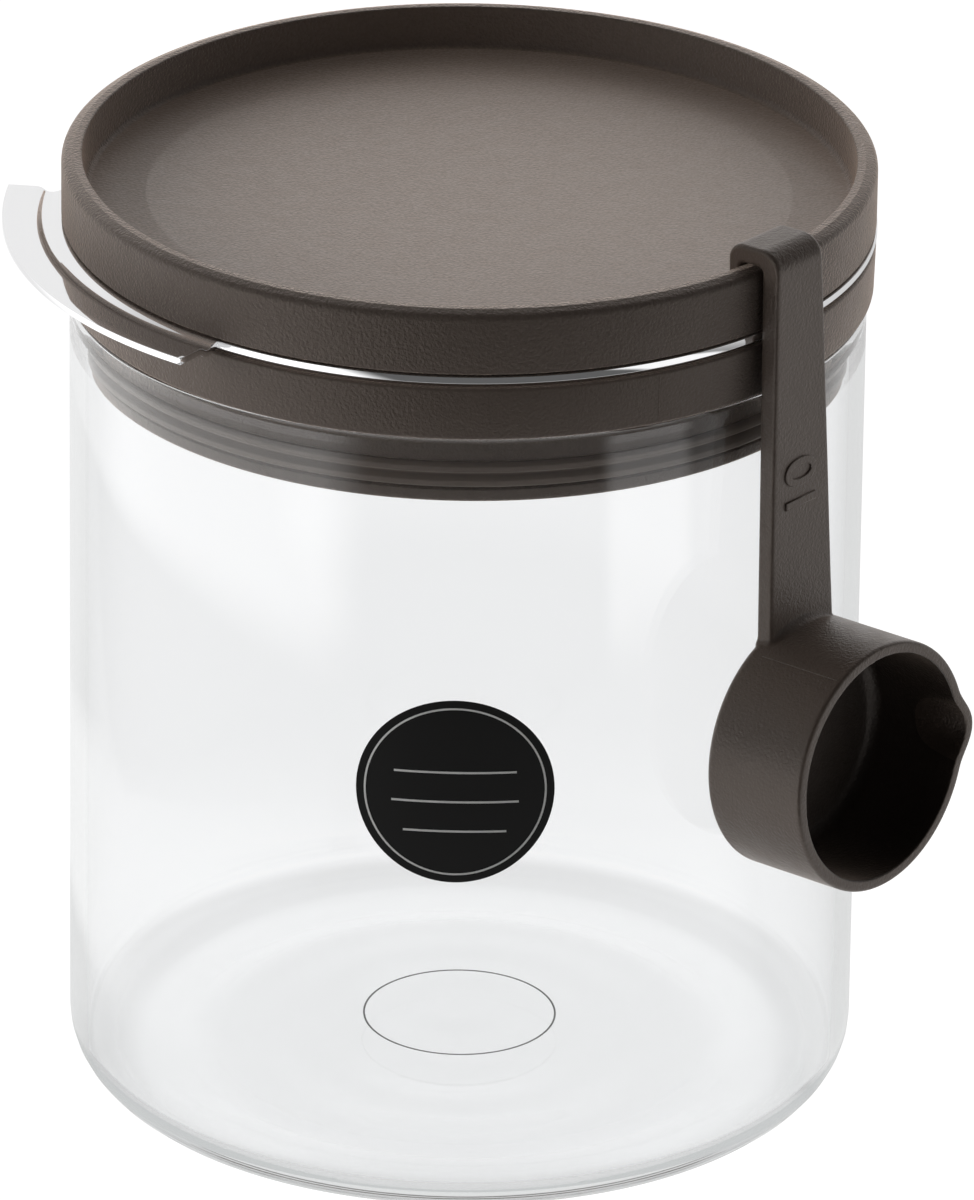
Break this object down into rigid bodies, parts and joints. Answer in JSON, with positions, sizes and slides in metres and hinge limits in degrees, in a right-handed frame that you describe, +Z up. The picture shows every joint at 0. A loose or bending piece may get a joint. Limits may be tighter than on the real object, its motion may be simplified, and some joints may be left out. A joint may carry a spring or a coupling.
{
  "type": "food storage jar",
  "caption": "Straight glass jar with a plug lid in a soft ring, a steel band with a lift tab, a tray top and a hooked measuring spoon.",
  "frame": {"origin": "centre of the glass jar's flat underside", "axes": "+Z up along the jar's axis, -Y towards the front, +X to the right; the lift tab is on the left and the spoon at the front right"},
  "size_m": [0.122, 0.1083, 0.1274],
  "materials": {
    "glass": "clear, fire-polished rim",
    "taupe_plastic": "fine-grained satin, warm grey-brown",
    "polished_steel": "mirror-polished stainless sheet",
    "silicone": "satin food-grade silicone"
  },
  "bodies": {
    "jar": {"glass_jar": "glass"},
    "lid": {"lid_tray": "taupe_plastic", "steel_band": "polished_steel", "lid_plug": "taupe_plastic", "gasket": "silicone"},
    "spoon": {"measuring_spoon": "taupe_plastic"}
  },
  "joints": [
    {"name": "lid_lift", "type": "slide", "parent": "jar", "child": "lid", "axis": [0, 0, 1], "range_m": [0, 0.045]},
    {"name": "spoon_unhook", "type": "slide", "parent": "lid", "child": "spoon", "axis": [0, 0, 1], "range_m": [0, 0.02]}
  ]
}
